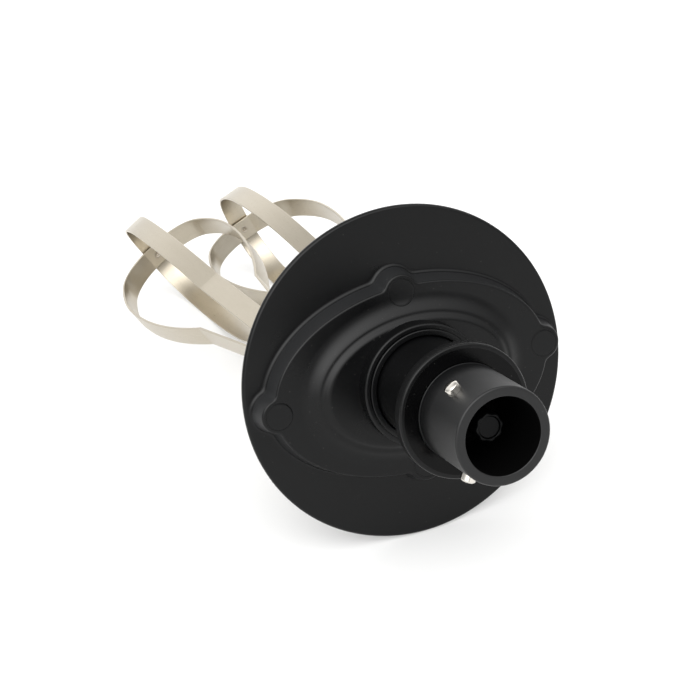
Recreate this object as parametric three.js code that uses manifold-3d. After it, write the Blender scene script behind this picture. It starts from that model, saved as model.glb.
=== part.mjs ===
// Twin-beater whisk attachment for a stick mixer.
// Millimetres, +Z up. The hub axis is +Z, the mouth of the coupling tube is at the top and
// the two beaters hang below. The origin is on the hub axis, on the front face of the flange.
// The two beaters stand side by side along X.

import * as THREE from 'three';
import { mergeVertices } from 'three/addons/utils/BufferGeometryUtils.js';
import Module from 'manifold-3d';

const wasm = await Module();
wasm.setup();

// ---------------------------------------------------------------- driving dimensions

const GAP = 0.3; // clearance left between pieces that meet
const PAST = 1; // how far a cutting shape runs past the face that it cuts

// coupling end
const TUBE = { radius: 16.6, bore: 13.1, top: 29.3, bottom: -4.6, edge: 0.7 };
const TUBE_FOOT = { radius: 17.3, bottom: 0.2, top: 0.9, slope: 0.4 };
const FLANGE = { radius: 23.2, thickness: 5.2, edge: 0.8, seat: 0.1 };
const BAYONET = { count: 3, height: 15.7, radius: 2.55, proud: 3.1, depth: 2.2, edge: 0.4 };
const NECK = {
  radius: 17.6,
  bore: 15.4,
  top: -FLANGE.thickness - GAP,
  bottom: -52.7,
  footRadius: 21.6,
  footTop: -41.4,
  web: 3,
  webLedge: 2,
};

// splash cover: a thin disc, a raised oval with four ears, a low terrace and a collar round the neck
const COVER_TURN = THREE.MathUtils.degToRad(-2); // the oval's long axis against the beaters' line
const DISC = { radius: 60, top: -50, thickness: 2.4, edge: 1.1 };
const OVAL = { top: -42.3, a: 51.2, b: 33.6, draft: 1.6, edge: 0.5, wall: 2.4 };
const EAR = { radius: 6, draft: 1.3 };
const TERRACE = { top: -39.2, a: 35.7, b: 24, slope: 5.6, step: 0.5, lip: 0.7 };
const COLLAR = { top: -32.4, base: -37.2, radius: 20, baseRadius: 21.4, foot: 1.6, edge: 0.5 };
const SCREW = { x: 50.2, y: 31.8, radius: 1.9, end: -64, point: 1.5, pointRadius: 1.1 };
const HEAD = { radius: 3.5, height: 2.4, top: -44.7, edge: 0.6 };
const PLUG = { radius: 4.8, thickness: 1.8, edge: 0.3 };

// gear housing under the cover
const GASKET = { top: DISC.top - DISC.thickness - GAP, thickness: 1.2, width: 2.1 };
const HOUSING = {
  top: GASKET.top - GASKET.thickness - GAP,
  a: 54, // the rim that is screwed to the cover
  b: 35,
  rimBottom: -60,
  recessDepth: 5.1,
  recessWall: 2.5,
  upperA: 50, // the body below the rim, narrower towards its floor
  upperB: 32.5,
  lowerA: 48.5,
  lowerB: 31.5,
  wall: 2.6,
  floorTop: -76,
  bottom: -79,
  edge: 3,
  postRadius: 4.3,
  postBottom: -65.6,
  bossRadius: 11,
  bossBottom: -84,
};
const PLATE = { top: -53, thickness: 6 };
const STEP = 0.01; // height between two ovals that make a level step

// shafts, bearings and seals
const BEARING = { bore: 4, radius: 9.5, width: 6 };
const SHAFT = { radius: 3.7, top: 18.4, bottom: -66.4, pinionRadius: 3.2, edge: 0.3 };
const SHAFT_COLLAR = { radius: 5.2, top: -51 };
const SPINDLE = { radius: 3.7, top: -53.6, bottom: -99, endRadius: 3, edge: 0.4 };
const SPINDLE_COLLAR = { radius: 5.3, top: -85 };
const BUSH = { radius: 6.6 };
const SEAL = { radius: 11.9, width: 3, lip: 1.2 };

// drive dog inside the tube
const DOG = { radius: 5, root: 4.45, bore: SHAFT.radius + GAP, top: 19, length: 13, lobes: 8 };

// gears
const BEATER_SPACING = 42;
const PRESSURE_ANGLE = THREE.MathUtils.degToRad(20);
const GEAR_STEP = { top: -60.2, width: 6 }; // pinion and driven gear
const TIMING_STEP = { top: -68.2, width: 6 }; // pair that keeps the beaters in step
const PINION_TEETH = 15;
const DRIVEN_TEETH = 45;
const TIMING_TEETH = 32;
const BACKLASH = 0.24;
const TOOTH = { tip: 0.9, root: 1.2, shoulder: 0.2 }; // heights over and under the pitch circle, in modules

// beaters
const STRIP = { width: 9.1, thickness: 1, blockHalf: 5.5, seatBottom: 1, seatTop: 2 };
const BLOCK = { top: -88, bottom: -104 };
const RING = { bore: 8.4, radius: 9.5, top: -91, bottom: -101 };
const TIP = { z: -287.9, flat: 1.1 };
// each arm leaves the tip as three arcs of growing radius, then runs straight to the block
const ARM_ARCS = [
  { length: 26.9, radius: 22.2, steps: 8 },
  { length: 29.4, radius: 85.4, steps: 4 },
  { length: 68.3, radius: 172.5, steps: 5 },
];
const BEATERS = [
  { name: 'left', side: -1, phase: THREE.MathUtils.degToRad(28.7) },
  { name: 'right', side: 1, phase: THREE.MathUtils.degToRad(19.5) },
];
const RIVET = { radius: 1.5, headRadius: 2.5, headHeight: 0.6, crownRadius: 1.75 };

// ---------------------------------------------------------------- materials

const material = (color, roughness, metalness) =>
  new THREE.MeshStandardMaterial({ color, roughness, metalness });
const MATERIALS = {
  blackPlastic: material(0x1c1d1e, 0.6, 0),
  satinPlastic: material(0x2b2c2e, 0.45, 0),
  steelStrip: material(0xb9b4ad, 0.3, 1),
  polishedSteel: material(0xc9c7c3, 0.18, 1),
  bearingSteel: material(0x9c9fa3, 0.3, 1),
  gearNylon: material(0xe3ddcd, 0.5, 0),
  sealRubber: material(0x161616, 0.8, 0),
  bronze: material(0x9a7647, 0.4, 1),
  zinc: material(0xa7a9ab, 0.4, 1),
};

// ---------------------------------------------------------------- solids

const solidOf = (geometry) => {
  const bare = geometry.clone();
  bare.deleteAttribute('normal');
  bare.deleteAttribute('uv');
  const merged = mergeVertices(bare, 1e-4);
  return new wasm.Manifold(new wasm.Mesh({
    numProp: 3,
    vertProperties: new Float32Array(merged.attributes.position.array),
    triVerts: new Uint32Array(merged.index.array),
  }));
};

const geometryOf = (solid) => {
  const mesh = solid.getMesh();
  const geometry = new THREE.BufferGeometry();
  geometry.setAttribute('position', new THREE.BufferAttribute(mesh.vertProperties, 3));
  geometry.setIndex(new THREE.BufferAttribute(mesh.triVerts, 1));
  return geometry;
};

const join = (first, ...rest) =>
  geometryOf(rest.reduce((sum, part) => sum.add(solidOf(part)), solidOf(first)));
const cut = (first, ...rest) =>
  geometryOf(rest.reduce((sum, part) => sum.subtract(solidOf(part)), solidOf(first)));

// A profile of [radius, z] points, anticlockwise in the radius-z plane, turned about Z.
const turned = (profile, segments) => {
  const points = profile.map(([radius, z]) => new THREE.Vector2(radius, z));
  return new THREE.LatheGeometry(points, segments).rotateX(Math.PI / 2);
};

const ring = (bore, radius, bottom, top, segments = 24) =>
  turned([[bore, bottom], [radius, bottom], [radius, top], [bore, top], [bore, bottom]], segments);

const rod = (radius, bottom, top, segments = 16) =>
  turned([[0, bottom], [radius, bottom], [radius, top], [0, top]], segments);

// A closed solid through level ovals, each given as { z, a, b }.
const OVAL_SEGMENTS = 48;
const ovalStack = (levels) => {
  const positions = [];
  const indices = [];
  levels.forEach(({ z, a, b }) => {
    for (let i = 0; i < OVAL_SEGMENTS; i++) {
      const angle = (2 * Math.PI * i) / OVAL_SEGMENTS;
      positions.push(a * Math.cos(angle), b * Math.sin(angle), z);
    }
  });
  const lowCentre = positions.length / 3;
  positions.push(0, 0, levels[0].z, 0, 0, levels[levels.length - 1].z);
  const lastRow = (levels.length - 1) * OVAL_SEGMENTS;
  for (let i = 0; i < OVAL_SEGMENTS; i++) {
    const next = (i + 1) % OVAL_SEGMENTS;
    for (let row = 0; row < lastRow; row += OVAL_SEGMENTS) {
      indices.push(row + i, row + next, row + OVAL_SEGMENTS + next);
      indices.push(row + i, row + OVAL_SEGMENTS + next, row + OVAL_SEGMENTS + i);
    }
    indices.push(lowCentre, next, i);
    indices.push(lowCentre + 1, lastRow + i, lastRow + next);
  }
  const geometry = new THREE.BufferGeometry();
  geometry.setAttribute('position', new THREE.Float32BufferAttribute(positions, 3));
  geometry.setIndex(indices);
  return geometry;
};

// The four screw places, round the oval at its ears.
const SCREW_PLACES = [
  { name: 'right', x: SCREW.x, y: 0 },
  { name: 'front', x: 0, y: SCREW.y },
  { name: 'left', x: -SCREW.x, y: 0 },
  { name: 'back', x: 0, y: -SCREW.y },
];
const atScrews = (geometry) => SCREW_PLACES.map(({ x, y }) => geometry.clone().translate(x, y, 0));

const root = new THREE.Group();
const addMesh = (group, name, geometry, meshMaterial) => {
  const mesh = new THREE.Mesh(geometry, meshMaterial);
  mesh.name = name;
  group.add(mesh);
  return mesh;
};

// ---------------------------------------------------------------- coupling end

const { edge } = TUBE;
addMesh(root, 'coupling_tube', turned([
  [TUBE.bore, TUBE.bottom],
  [TUBE.radius, TUBE.bottom],
  [TUBE.radius, TUBE_FOOT.bottom],
  [TUBE_FOOT.radius, TUBE_FOOT.bottom],
  [TUBE_FOOT.radius, TUBE_FOOT.top],
  [TUBE.radius, TUBE_FOOT.top + TUBE_FOOT.slope],
  [TUBE.radius, TUBE.top - edge],
  [TUBE.radius - edge, TUBE.top],
  [TUBE.bore + edge / 2, TUBE.top],
  [TUBE.bore, TUBE.top - edge / 2],
  [TUBE.bore, TUBE.bottom],
], 48), MATERIALS.satinPlastic);

const pinSocket = (radius, depth) =>
  new THREE.CylinderGeometry(radius, radius, depth, 16).rotateZ(Math.PI / 2);
const tubeMesh = root.children[0];
for (let i = 0; i < BAYONET.count; i++) {
  const turn = (2 * Math.PI * i) / BAYONET.count;
  const inner = TUBE.radius - BAYONET.depth;
  const outer = TUBE.radius + BAYONET.proud;
  const socket = pinSocket(BAYONET.radius + GAP, BAYONET.depth * 2)
    .translate(inner - GAP + BAYONET.depth, 0, BAYONET.height)
    .rotateZ(turn);
  tubeMesh.geometry = cut(tubeMesh.geometry, socket);
  const pin = turned([
    [0, inner],
    [BAYONET.radius, inner],
    [BAYONET.radius, outer - BAYONET.edge],
    [BAYONET.radius - BAYONET.edge, outer],
    [0, outer],
  ], 16).rotateY(Math.PI / 2);
  const mesh = addMesh(root, `bayonet_pin_${i + 1}`, pin, MATERIALS.polishedSteel);
  mesh.position.z = BAYONET.height;
  mesh.rotation.z = turn;
}

addMesh(root, 'flange_collar', turned([
  [TUBE.radius + GAP, -FLANGE.thickness],
  [FLANGE.radius - FLANGE.edge, -FLANGE.thickness],
  [FLANGE.radius, -FLANGE.thickness + FLANGE.edge],
  [FLANGE.radius, -FLANGE.edge],
  [FLANGE.radius - FLANGE.edge / 2, 0],
  [TUBE_FOOT.radius + GAP, 0],
  [TUBE_FOOT.radius + GAP, -FLANGE.seat],
  [TUBE.radius + GAP, -FLANGE.seat],
  [TUBE.radius + GAP, -FLANGE.thickness],
], 48), MATERIALS.blackPlastic);

const neckSeat = NECK.top - SEAL.width - BEARING.width - 2 * GAP;
const webBottom = neckSeat - NECK.web;
const webBore = BEARING.radius - NECK.webLedge;
addMesh(root, 'neck_sleeve', turned([
  [NECK.bore, NECK.bottom],
  [NECK.footRadius, NECK.bottom],
  [NECK.footRadius, NECK.footTop],
  [NECK.radius, NECK.footTop],
  [NECK.radius, NECK.top],
  [SEAL.radius + GAP, NECK.top],
  [SEAL.radius + GAP, neckSeat + BEARING.width + GAP],
  [BEARING.radius + GAP, neckSeat + BEARING.width + GAP],
  [BEARING.radius + GAP, neckSeat],
  [webBore, neckSeat],
  [webBore, webBottom],
  [NECK.bore, webBottom],
  [NECK.bore, NECK.bottom],
], 32), MATERIALS.blackPlastic);

// ---------------------------------------------------------------- splash cover and its screws

const cover = new THREE.Group();
cover.rotation.z = COVER_TURN;
root.add(cover);

const discBottom = DISC.top - DISC.thickness;
const disc = turned([
  [0, discBottom],
  [DISC.radius - DISC.edge, discBottom],
  [DISC.radius - DISC.edge * 0.3, discBottom + DISC.edge * 0.3],
  [DISC.radius, discBottom + DISC.edge],
  [DISC.radius, DISC.top - DISC.edge],
  [DISC.radius - DISC.edge * 0.3, DISC.top - DISC.edge * 0.3],
  [DISC.radius - DISC.edge, DISC.top],
  [0, DISC.top],
], 64);

const oval = ovalStack([
  { z: DISC.top - PAST, a: OVAL.a + OVAL.draft, b: OVAL.b + OVAL.draft },
  { z: OVAL.top - OVAL.edge, a: OVAL.a, b: OVAL.b },
  { z: OVAL.top, a: OVAL.a - OVAL.edge, b: OVAL.b - OVAL.edge },
]);
const ear = turned([
  [0, DISC.top - PAST],
  [EAR.radius + EAR.draft, DISC.top - PAST],
  [EAR.radius, OVAL.top - OVAL.edge],
  [EAR.radius - OVAL.edge, OVAL.top],
  [0, OVAL.top],
], 20);
const terrace = ovalStack([
  { z: OVAL.top - PAST, a: TERRACE.a + TERRACE.slope + PAST, b: TERRACE.b + TERRACE.slope + PAST },
  { z: OVAL.top, a: TERRACE.a + TERRACE.slope, b: TERRACE.b + TERRACE.slope },
  { z: TERRACE.top - TERRACE.step, a: TERRACE.a + TERRACE.lip, b: TERRACE.b + TERRACE.lip },
  { z: TERRACE.top, a: TERRACE.a - TERRACE.lip, b: TERRACE.b - TERRACE.lip },
]);
const collar = turned([
  [0, TERRACE.top - PAST],
  [COLLAR.baseRadius + COLLAR.foot, TERRACE.top - PAST],
  [COLLAR.baseRadius + COLLAR.foot, TERRACE.top],
  [COLLAR.baseRadius, COLLAR.base],
  [COLLAR.radius, COLLAR.top - COLLAR.edge],
  [COLLAR.radius - COLLAR.edge, COLLAR.top],
  [0, COLLAR.top],
], 32);

// the room inside the cover, with the four screw bosses left standing in it
const ceiling = OVAL.top - OVAL.wall;
const hollow = cut(
  join(
    ovalStack([
      { z: discBottom - PAST, a: OVAL.a - OVAL.wall, b: OVAL.b - OVAL.wall },
      { z: ceiling, a: OVAL.a - OVAL.wall, b: OVAL.b - OVAL.wall },
    ]),
    rod(NECK.footRadius + GAP, ceiling - PAST, NECK.footTop + GAP, 32),
  ),
  ...atScrews(rod(EAR.radius, discBottom - 2 * PAST, ceiling + PAST)),
);
const plugBottom = OVAL.top - PLUG.thickness;
const screwWell = turned([
  [0, discBottom - PAST],
  [SCREW.radius + GAP, discBottom - PAST],
  [SCREW.radius + GAP, HEAD.top - HEAD.height - GAP],
  [HEAD.radius + GAP, HEAD.top - HEAD.height - GAP],
  [HEAD.radius + GAP, plugBottom - GAP],
  [PLUG.radius + GAP, plugBottom - GAP],
  [PLUG.radius + GAP, OVAL.top + PAST],
  [0, OVAL.top + PAST],
], 16);
addMesh(cover, 'splash_cover', cut(
  join(disc, oval, ...atScrews(ear), terrace, collar),
  hollow,
  rod(NECK.radius + GAP, NECK.footTop - PAST, COLLAR.top + PAST, 32),
  ...atScrews(screwWell),
), MATERIALS.blackPlastic);

const plug = turned([
  [0, plugBottom],
  [PLUG.radius, plugBottom],
  [PLUG.radius, OVAL.top - PLUG.edge],
  [PLUG.radius - PLUG.edge, OVAL.top],
  [0, OVAL.top],
], 20);
const screw = turned([
  [0, SCREW.end],
  [SCREW.pointRadius, SCREW.end],
  [SCREW.radius, SCREW.end + SCREW.point],
  [SCREW.radius, HEAD.top - HEAD.height],
  [HEAD.radius, HEAD.top - HEAD.height],
  [HEAD.radius, HEAD.top - HEAD.edge],
  [HEAD.radius - HEAD.edge, HEAD.top],
  [0, HEAD.top],
], 12);
SCREW_PLACES.forEach(({ name, x, y }) => {
  addMesh(cover, `screw_plug_${name}`, plug, MATERIALS.blackPlastic).position.set(x, y, 0);
  addMesh(cover, `cover_screw_${name}`, screw, MATERIALS.zinc).position.set(x, y, 0);
});

// ---------------------------------------------------------------- gear housing

const gasketBottom = GASKET.top - GASKET.thickness;
addMesh(cover, 'housing_gasket', cut(
  join(
    ovalStack([
      { z: gasketBottom, a: HOUSING.a, b: HOUSING.b },
      { z: GASKET.top, a: HOUSING.a, b: HOUSING.b },
    ]),
    ...atScrews(rod(EAR.radius, gasketBottom, GASKET.top)),
  ),
  cut(
    ovalStack([
      { z: gasketBottom - PAST, a: HOUSING.a - GASKET.width, b: HOUSING.b - GASKET.width },
      { z: GASKET.top + PAST, a: HOUSING.a - GASKET.width, b: HOUSING.b - GASKET.width },
    ]),
    ...atScrews(rod(HOUSING.postRadius, gasketBottom - 2 * PAST, GASKET.top + 2 * PAST)),
  ),
  ...atScrews(rod(SCREW.radius + GAP, gasketBottom - PAST, GASKET.top + PAST, 12)),
), MATERIALS.sealRubber);

const tub = join(
  ovalStack([
    { z: HOUSING.bottom, a: HOUSING.lowerA - HOUSING.edge, b: HOUSING.lowerB - HOUSING.edge },
    { z: HOUSING.bottom + HOUSING.edge, a: HOUSING.lowerA, b: HOUSING.lowerB },
    { z: HOUSING.rimBottom, a: HOUSING.upperA, b: HOUSING.upperB },
    { z: HOUSING.rimBottom + STEP, a: HOUSING.a, b: HOUSING.b },
    { z: HOUSING.top, a: HOUSING.a, b: HOUSING.b },
  ]),
  ...atScrews(rod(EAR.radius, HOUSING.rimBottom, HOUSING.top)),
  ...atScrews(rod(HOUSING.postRadius, HOUSING.postBottom, HOUSING.top)),
);
const recessBottom = HOUSING.top - HOUSING.recessDepth;
const tubRoom = cut(
  ovalStack([
    { z: HOUSING.floorTop, a: HOUSING.lowerA - HOUSING.wall, b: HOUSING.lowerB - HOUSING.wall },
    { z: recessBottom, a: HOUSING.upperA - HOUSING.wall, b: HOUSING.upperB - HOUSING.wall },
    { z: recessBottom + STEP, a: HOUSING.a - HOUSING.recessWall, b: HOUSING.b - HOUSING.recessWall },
    { z: HOUSING.top + PAST, a: HOUSING.a - HOUSING.recessWall, b: HOUSING.b - HOUSING.recessWall },
  ]),
  ...atScrews(rod(HOUSING.postRadius, HOUSING.floorTop - PAST, HOUSING.top + 2 * PAST)),
);
const spindlePlaces = BEATERS.map(({ side }) => side * BEATER_SPACING / 2);
const turnBack = (geometry) => geometry.rotateZ(-COVER_TURN); // the spindles keep to the X axis
const atSpindles = (geometry) => spindlePlaces.map((x) => turnBack(geometry.clone().translate(x, 0, 0)));
const boss = rod(HOUSING.bossRadius, HOUSING.bossBottom, HOUSING.bottom + PAST, 24);
addMesh(cover, 'gear_housing', cut(
  join(cut(tub, tubRoom), ...atSpindles(boss)),
  ...atSpindles(rod(BUSH.radius + GAP, HOUSING.bossBottom - PAST, HOUSING.floorTop + PAST)),
  ...atScrews(rod(SCREW.radius + GAP, SCREW.end - GAP, HOUSING.top + PAST, 12)),
), MATERIALS.blackPlastic);

const plateBottom = PLATE.top - PLATE.thickness;
addMesh(cover, 'bearing_plate', cut(
  ovalStack([
    { z: plateBottom, a: HOUSING.a - HOUSING.recessWall - GAP, b: HOUSING.b - HOUSING.recessWall - GAP },
    { z: PLATE.top, a: HOUSING.a - HOUSING.recessWall - GAP, b: HOUSING.b - HOUSING.recessWall - GAP },
  ]),
  rod(BEARING.radius + GAP, plateBottom - PAST, PLATE.top + PAST, 24),
  ...atSpindles(rod(BUSH.radius + GAP, plateBottom - PAST, PLATE.top + PAST)),
  ...atScrews(rod(HOUSING.postRadius + GAP, plateBottom - PAST, PLATE.top + PAST)),
), MATERIALS.bearingSteel);

// ---------------------------------------------------------------- fixed bearings and seals

const driveBearing = (bottom, top) => ring(BEARING.bore, BEARING.radius, bottom, top);
addMesh(root, 'upper_drive_bearing', driveBearing(neckSeat + GAP, neckSeat + BEARING.width),
  MATERIALS.bearingSteel);
addMesh(root, 'lower_drive_bearing', driveBearing(plateBottom, PLATE.top), MATERIALS.bearingSteel);
const sealBottom = neckSeat + BEARING.width + 2 * GAP;
addMesh(root, 'drive_shaft_seal', turned([
  [SHAFT.radius + GAP, sealBottom + SEAL.lip],
  [BEARING.radius - 1, sealBottom + SEAL.lip],
  [BEARING.radius - 1, sealBottom],
  [SEAL.radius, sealBottom],
  [SEAL.radius, sealBottom + SEAL.width - GAP],
  [SHAFT.radius + GAP, sealBottom + SEAL.width - GAP],
  [SHAFT.radius + GAP, sealBottom + SEAL.lip],
], 24), MATERIALS.sealRubber);

BEATERS.forEach(({ name, side }) => {
  const x = side * BEATER_SPACING / 2;
  const bore = SPINDLE.radius + GAP;
  const place = (part, geometry, partMaterial) => {
    addMesh(root, `${name}_${part}`, geometry, partMaterial).position.x = x;
  };
  place('upper_bush', ring(bore, BUSH.radius, plateBottom + GAP, PLATE.top, 16), MATERIALS.bronze);
  place('lower_bush', ring(bore, BUSH.radius, HOUSING.bottom, HOUSING.floorTop, 16), MATERIALS.bronze);
  place('spindle_seal', ring(bore, BUSH.radius, HOUSING.bossBottom, HOUSING.bottom - GAP, 16),
    MATERIALS.sealRubber);
});

// ---------------------------------------------------------------- gears

// The angle that an involute has turned through at the radius where its pressure angle is alpha.
const involute = (alpha) => Math.tan(alpha) - alpha;

const gearGeometry = (teeth, centreDistance, mateTeeth, bore, bottom, width) => {
  const size = (2 * centreDistance) / (teeth + mateTeeth);
  const pitch = (size * teeth) / 2;
  const base = pitch * Math.cos(PRESSURE_ANGLE);
  const tip = pitch + TOOTH.tip * size;
  const rootRadius = pitch - TOOTH.root * size;
  const halfTooth = Math.PI / (2 * teeth) - BACKLASH / (4 * pitch) + involute(PRESSURE_ANGLE);
  const flankRadii = [Math.max(base, rootRadius), pitch + TOOTH.shoulder * size, tip];
  const flank = flankRadii.map((radius) => ({
    radius,
    angle: halfTooth - involute(Math.acos(Math.min(1, base / radius))),
  }));
  const outline = [];
  for (let tooth = 0; tooth < teeth; tooth++) {
    const centre = (2 * Math.PI * tooth) / teeth;
    const add = (radius, angle) =>
      outline.push(new THREE.Vector2(radius * Math.cos(centre + angle), radius * Math.sin(centre + angle)));
    if (base > rootRadius) add(rootRadius, -flank[0].angle);
    flank.forEach(({ radius, angle }) => add(radius, -angle));
    [...flank].reverse().forEach(({ radius, angle }) => add(radius, angle));
    if (base > rootRadius) add(rootRadius, flank[0].angle);
  }
  const shape = new THREE.Shape(outline);
  shape.holes.push(new THREE.Path().absarc(0, 0, bore, 0, 2 * Math.PI, true));
  return new THREE.ExtrudeGeometry(shape, { depth: width, bevelEnabled: false, curveSegments: 12 })
    .translate(0, 0, bottom);
};

// ---------------------------------------------------------------- drive: shaft, dog and pinion

const drive = new THREE.Group();
root.add(drive);
const pinionTop = GEAR_STEP.top + GAP;
addMesh(drive, 'drive_shaft', turned([
  [0, SHAFT.bottom],
  [SHAFT.pinionRadius, SHAFT.bottom],
  [SHAFT.pinionRadius, pinionTop],
  [SHAFT.radius, pinionTop],
  [SHAFT.radius, PLATE.top + GAP],
  [SHAFT_COLLAR.radius, PLATE.top + GAP],
  [SHAFT_COLLAR.radius, SHAFT_COLLAR.top],
  [SHAFT.radius, SHAFT_COLLAR.top],
  [SHAFT.radius, SHAFT.top - SHAFT.edge],
  [SHAFT.radius - SHAFT.edge, SHAFT.top],
  [0, SHAFT.top],
], 16), MATERIALS.bearingSteel);

const dogShape = new THREE.Shape();
const LOBE_STEPS = 4;
for (let i = 0; i < DOG.lobes * LOBE_STEPS; i++) {
  const angle = (2 * Math.PI * i) / (DOG.lobes * LOBE_STEPS);
  const swing = Math.cos(DOG.lobes * angle);
  const radius = (DOG.radius + DOG.root) / 2 + ((DOG.radius - DOG.root) / 2) * swing;
  const point = [radius * Math.cos(angle), radius * Math.sin(angle)];
  if (i === 0) dogShape.moveTo(...point);
  else dogShape.lineTo(...point);
}
dogShape.holes.push(new THREE.Path().absarc(0, 0, DOG.bore, 0, 2 * Math.PI, true));
addMesh(drive, 'drive_dog', new THREE.ExtrudeGeometry(dogShape, {
  depth: DOG.length, bevelEnabled: false, curveSegments: 12,
}).translate(0, 0, DOG.top - DOG.length), MATERIALS.satinPlastic);

addMesh(drive, 'drive_pinion', gearGeometry(PINION_TEETH, BEATER_SPACING / 2, DRIVEN_TEETH,
  SHAFT.pinionRadius + GAP, GEAR_STEP.top - GEAR_STEP.width, GEAR_STEP.width), MATERIALS.bearingSteel);

// ---------------------------------------------------------------- beaters

// Middle line of one arm in the radius-z plane, from the tip to the block.
const armLine = (tipZ) => {
  const line = [[0, tipZ], [TIP.flat, tipZ]];
  let [radius, z] = line[1];
  let heading = 0;
  ARM_ARCS.forEach((arc) => {
    const stepLength = arc.length / arc.steps;
    for (let i = 0; i < arc.steps; i++) {
      heading += stepLength / arc.radius / 2;
      radius += stepLength * Math.cos(heading);
      z += stepLength * Math.sin(heading);
      heading += stepLength / arc.radius / 2;
      line.push([radius, z]);
    }
  });
  const seat = STRIP.blockHalf + GAP + STRIP.thickness / 2;
  line.push([seat, BLOCK.bottom + STRIP.seatBottom], [seat, BLOCK.top - STRIP.seatTop]);
  return line;
};

// The middle line moved sideways by an offset, square to the line at every point.
const offsetLine = (line, offset) => line.map(([radius, z], i) => {
  const [r0, z0] = line[Math.max(i - 1, 0)];
  const [r1, z1] = line[Math.min(i + 1, line.length - 1)];
  const length = Math.hypot(r1 - r0, z1 - z0);
  const sideways = i === 0 ? [0, -1] : [(z1 - z0) / length, -(r1 - r0) / length];
  return [radius + sideways[0] * offset, z + sideways[1] * offset];
});

// A flat strip bent into a loop: two arms joined at the tip, in the plane of X and Z.
const loopGeometry = (tipZ) => {
  const line = armLine(tipZ);
  const outer = offsetLine(line, STRIP.thickness / 2);
  const inner = offsetLine(line, -STRIP.thickness / 2);
  const mirrored = (points) => points.slice(1).reverse().map(([radius, z]) => [-radius, z]);
  const outline = [...mirrored(outer), ...outer, ...[...inner].reverse(), ...mirrored(inner).reverse()];
  const shape = new THREE.Shape(outline.map(([x, z]) => new THREE.Vector2(x, z)));
  const strip = new THREE.ExtrudeGeometry(shape, { depth: STRIP.width, bevelEnabled: false })
    .translate(0, 0, -STRIP.width / 2)
    .rotateX(Math.PI / 2);
  return cut(strip, rod(RIVET.radius + GAP, tipZ - PAST, tipZ + PAST, 12));
};

const blockGeometry = () => {
  const half = STRIP.blockHalf;
  const block = new THREE.BoxGeometry(2 * half, 2 * half, BLOCK.top - BLOCK.bottom)
    .translate(0, 0, (BLOCK.top + BLOCK.bottom) / 2);
  return cut(block, rod(SPINDLE.endRadius + GAP, SPINDLE.bottom - GAP, BLOCK.top + PAST, 16));
};

const spindleGeometry = () => turned([
  [0, SPINDLE.bottom],
  [SPINDLE.endRadius, SPINDLE.bottom],
  [SPINDLE.endRadius, BLOCK.top + GAP],
  [SPINDLE_COLLAR.radius, BLOCK.top + GAP],
  [SPINDLE_COLLAR.radius, SPINDLE_COLLAR.top],
  [SPINDLE.radius, SPINDLE_COLLAR.top],
  [SPINDLE.radius, SPINDLE.top - SPINDLE.edge],
  [SPINDLE.radius - SPINDLE.edge, SPINDLE.top],
  [0, SPINDLE.top],
], 16);

const innerTip = TIP.z + STRIP.thickness + GAP;
const rivetBottom = TIP.z - STRIP.thickness / 2 - GAP;
const rivetTop = innerTip + STRIP.thickness / 2 + GAP;
const rivetGeometry = () => turned([
  [0, rivetBottom - RIVET.headHeight],
  [RIVET.crownRadius, rivetBottom - RIVET.headHeight],
  [RIVET.headRadius, rivetBottom],
  [RIVET.radius, rivetBottom],
  [RIVET.radius, rivetTop],
  [RIVET.headRadius, rivetTop],
  [RIVET.crownRadius, rivetTop + RIVET.headHeight],
  [0, rivetTop + RIVET.headHeight],
], 12);

BEATERS.forEach(({ name, side, phase }) => {
  const beater = new THREE.Group();
  beater.position.x = side * BEATER_SPACING / 2;
  root.add(beater);
  addMesh(beater, `${name}_spindle`, spindleGeometry(), MATERIALS.polishedSteel);
  const gearBore = SPINDLE.radius + GAP;
  const timingGear = addMesh(beater, `${name}_timing_gear`, gearGeometry(TIMING_TEETH, BEATER_SPACING,
    TIMING_TEETH, gearBore, TIMING_STEP.top - TIMING_STEP.width, TIMING_STEP.width), MATERIALS.gearNylon);
  timingGear.rotation.z = side > 0 ? Math.PI / TIMING_TEETH : 0;
  if (side < 0) {
    addMesh(beater, `${name}_driven_gear`, gearGeometry(DRIVEN_TEETH, BEATER_SPACING / 2,
      PINION_TEETH, gearBore, GEAR_STEP.top - GEAR_STEP.width, GEAR_STEP.width), MATERIALS.gearNylon);
  }

  const turnedPart = new THREE.Group();
  turnedPart.rotation.z = phase;
  beater.add(turnedPart);
  addMesh(turnedPart, `${name}_beater_block`, blockGeometry(), MATERIALS.polishedSteel);
  addMesh(turnedPart, `${name}_ferrule`, ring(RING.bore, RING.radius, RING.bottom, RING.top, 24),
    MATERIALS.polishedSteel);
  addMesh(turnedPart, `${name}_inner_loop`, loopGeometry(innerTip), MATERIALS.steelStrip);
  const outerLoop = addMesh(turnedPart, `${name}_outer_loop`, loopGeometry(TIP.z), MATERIALS.steelStrip);
  outerLoop.rotation.z = Math.PI / 2;
  addMesh(turnedPart, `${name}_rivet`, rivetGeometry(), MATERIALS.polishedSteel);
});

export default root;
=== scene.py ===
# Twin-beater whisk attachment: the looks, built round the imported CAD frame. The frame, camera and floor are
# in metres, and the object's sizes in millimetres.
import math

import bpy
import numpy as np
from mathutils import Matrix, Vector


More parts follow.
